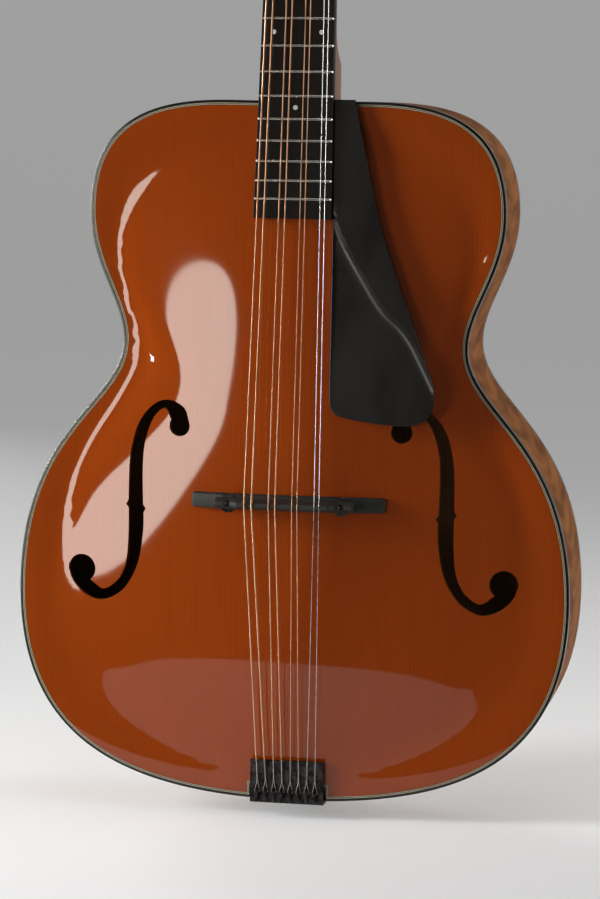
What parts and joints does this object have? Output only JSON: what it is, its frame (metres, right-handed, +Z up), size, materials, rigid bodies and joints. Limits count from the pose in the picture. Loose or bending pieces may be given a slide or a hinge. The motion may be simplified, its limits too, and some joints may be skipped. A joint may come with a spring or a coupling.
{
  "type": "octave mandolin",
  "caption": "Arched octave mandolin with paired strings, two f-shaped sound holes, adjustable bridge and raised guard.",
  "frame": {"origin": "middle of the neck's section at the nut, where a wall hanger's fork holds it", "axes": "+Z up along the neck from the body to the headstock, +X to the treble side, front faces -Y"},
  "size_m": [0.359, 0.1335, 0.9149],
  "materials": {
    "spruce_top": "glossy amber varnish over fine straight spruce grain",
    "figured_maple": "clear gloss over flamed maple",
    "neck_wood": "satin varnish",
    "ebony": "satin black wood",
    "black_trim": "black edge binding",
    "purfling": "fine pale and dark lines",
    "inner_wood": "unfinished",
    "black_metal": "black, semi-gloss",
    "steel": "bright",
    "bronze": "phosphor bronze winding",
    "bone": "polished bone"
  },
  "bodies": {
    "body": {"soundboard": "spruce_top", "back": "figured_maple", "rib_bass": "figured_maple", "rib_treble": "figured_maple", "neck_block": "inner_wood", "tail_block": "inner_wood", "top_lining": "inner_wood", "back_lining": "inner_wood", "tone_bar_bass": "inner_wood", "tone_bar_treble": "inner_wood", "top_binding": "black_trim", "top_purfling": "purfling", "back_binding": "black_trim", "tail_saddle": "ebony", "end_pin": "ebony", "tailpiece": "black_metal", "tailpiece_screw_bass": "black_metal", "tailpiece_screw_treble": "black_metal", "neck": "neck_wood", "fingerboard": "ebony", "headplate": "ebony", "nut": "bone", "truss_rod": "steel", "truss_rod_cover": "ebony", "heel_cap": "ebony", "bridge_base": "ebony", "bridge_post_bass": "steel", "bridge_post_treble": "steel", "pickguard": "ebony", "guard_standoff": "ebony", "guard_pin": "steel", "tuner_plate_bass": "black_metal", "tuner_plate_treble": "black_metal", "string_g1": "bronze", "string_g2": "bronze", "string_d1": "bronze", "string_d2": "bronze", "string_a1": "bronze", "string_a2": "bronze", "string_e1": "steel", "string_e2": "steel"},
    "saddle": {"bridge_saddle": "ebony"},
    "wheel_bass": {"thumbwheel_bass": "black_metal"},
    "wheel_treble": {"thumbwheel_treble": "black_metal"},
    "button_g1": {"tuner_button_g1": "black_metal"},
    "post_g1": {"tuner_post_g1": "steel"},
    "button_g2": {"tuner_button_g2": "black_metal"},
    "post_g2": {"tuner_post_g2": "steel"},
    "button_d1": {"tuner_button_d1": "black_metal"},
    "post_d1": {"tuner_post_d1": "steel"},
    "button_d2": {"tuner_button_d2": "black_metal"},
    "post_d2": {"tuner_post_d2": "steel"},
    "button_a1": {"tuner_button_a1": "black_metal"},
    "post_a1": {"tuner_post_a1": "steel"},
    "button_a2": {"tuner_button_a2": "black_metal"},
    "post_a2": {"tuner_post_a2": "steel"},
    "button_e1": {"tuner_button_e1": "black_metal"},
    "post_e1": {"tuner_post_e1": "steel"},
    "button_e2": {"tuner_button_e2": "black_metal"},
    "post_e2": {"tuner_post_e2": "steel"}
  },
  "joints": [
    {"name": "saddle_lift", "type": "slide", "parent": "body", "child": "saddle", "axis": [0, -1, 0], "range_m": [-0.0012, 0.002], "deforming": ["string_g1", "string_g2", "string_d1", "string_d2", "string_a1", "string_a2", "string_e1", "string_e2"]},
    {"name": "wheel_bass_turn", "type": "hinge", "parent": "saddle", "child": "wheel_bass", "pos_m": [-0.0365, -0.0559, -0.578], "axis": [0, -1, 0], "range_deg": [-620, 1032]},
    {"name": "wheel_treble_turn", "type": "hinge", "parent": "saddle", "child": "wheel_treble", "pos_m": [0.0365, -0.0559, -0.578], "axis": [0, -1, 0], "range_deg": [-620, 1032]},
    {"name": "button_g1_turn", "type": "hinge", "parent": "body", "child": "button_g1", "pos_m": [-0.022, 0.01953, 0.02278], "axis": [-1, 0, 0], "continuous": true},
    {"name": "post_g1_turn", "type": "hinge", "parent": "body", "child": "post_g1", "pos_m": [-0.022, 0.00306, 0.03441], "axis": [0, -0.9703, 0.2419], "continuous": true},
    {"name": "button_g2_turn", "type": "hinge", "parent": "body", "child": "button_g2", "pos_m": [-0.022, 0.0251, 0.04509], "axis": [-1, 0, 0], "continuous": true},
    {"name": "post_g2_turn", "type": "hinge", "parent": "body", "child": "post_g2", "pos_m": [-0.022, 0.00862, 0.05673], "axis": [0, -0.9703, 0.2419], "continuous": true},
    {"name": "button_d1_turn", "type": "hinge", "parent": "body", "child": "button_d1", "pos_m": [-0.022, 0.03066, 0.06741], "axis": [-1, 0, 0], "continuous": true},
    {"name": "post_d1_turn", "type": "hinge", "parent": "body", "child": "post_d1", "pos_m": [-0.022, 0.01419, 0.07904], "axis": [0, -0.9703, 0.2419], "continuous": true},
    {"name": "button_d2_turn", "type": "hinge", "parent": "body", "child": "button_d2", "pos_m": [-0.022, 0.03623, 0.08973], "axis": [-1, 0, 0], "continuous": true},
    {"name": "post_d2_turn", "type": "hinge", "parent": "body", "child": "post_d2", "pos_m": [-0.022, 0.01975, 0.10136], "axis": [0, -0.9703, 0.2419], "continuous": true},
    {"name": "button_a1_turn", "type": "hinge", "parent": "body", "child": "button_a1", "pos_m": [0.022, 0.03623, 0.08973], "axis": [1, 0, 0], "continuous": true},
    {"name": "post_a1_turn", "type": "hinge", "parent": "body", "child": "post_a1", "pos_m": [0.022, 0.01975, 0.10136], "axis": [0, -0.9703, 0.2419], "continuous": true},
    {"name": "button_a2_turn", "type": "hinge", "parent": "body", "child": "button_a2", "pos_m": [0.022, 0.03066, 0.06741], "axis": [1, 0, 0], "continuous": true},
    {"name": "post_a2_turn", "type": "hinge", "parent": "body", "child": "post_a2", "pos_m": [0.022, 0.01419, 0.07904], "axis": [0, -0.9703, 0.2419], "continuous": true},
    {"name": "button_e1_turn", "type": "hinge", "parent": "body", "child": "button_e1", "pos_m": [0.022, 0.0251, 0.04509], "axis": [1, 0, 0], "continuous": true},
    {"name": "post_e1_turn", "type": "hinge", "parent": "body", "child": "post_e1", "pos_m": [0.022, 0.00862, 0.05673], "axis": [0, -0.9703, 0.2419], "continuous": true},
    {"name": "button_e2_turn", "type": "hinge", "parent": "body", "child": "button_e2", "pos_m": [0.022, 0.01953, 0.02278], "axis": [1, 0, 0], "continuous": true},
    {"name": "post_e2_turn", "type": "hinge", "parent": "body", "child": "post_e2", "pos_m": [0.022, 0.00306, 0.03441], "axis": [0, -0.9703, 0.2419], "continuous": true}
  ],
  "couplings": [
    {"joint": "wheel_bass_turn", "follows": "saddle_lift", "rad_per_m": 8976},
    {"joint": "wheel_treble_turn", "follows": "saddle_lift", "rad_per_m": 8976},
    {"joint": "post_g1_turn", "follows": "button_g1_turn", "ratio": -0.066667},
    {"joint": "post_g2_turn", "follows": "button_g2_turn", "ratio": -0.066667},
    {"joint": "post_d1_turn", "follows": "button_d1_turn", "ratio": -0.066667},
    {"joint": "post_d2_turn", "follows": "button_d2_turn", "ratio": -0.066667},
    {"joint": "post_a1_turn", "follows": "button_a1_turn", "ratio": 0.066667},
    {"joint": "post_a2_turn", "follows": "button_a2_turn", "ratio": 0.066667},
    {"joint": "post_e1_turn", "follows": "button_e1_turn", "ratio": 0.066667},
    {"joint": "post_e2_turn", "follows": "button_e2_turn", "ratio": 0.066667}
  ]
}
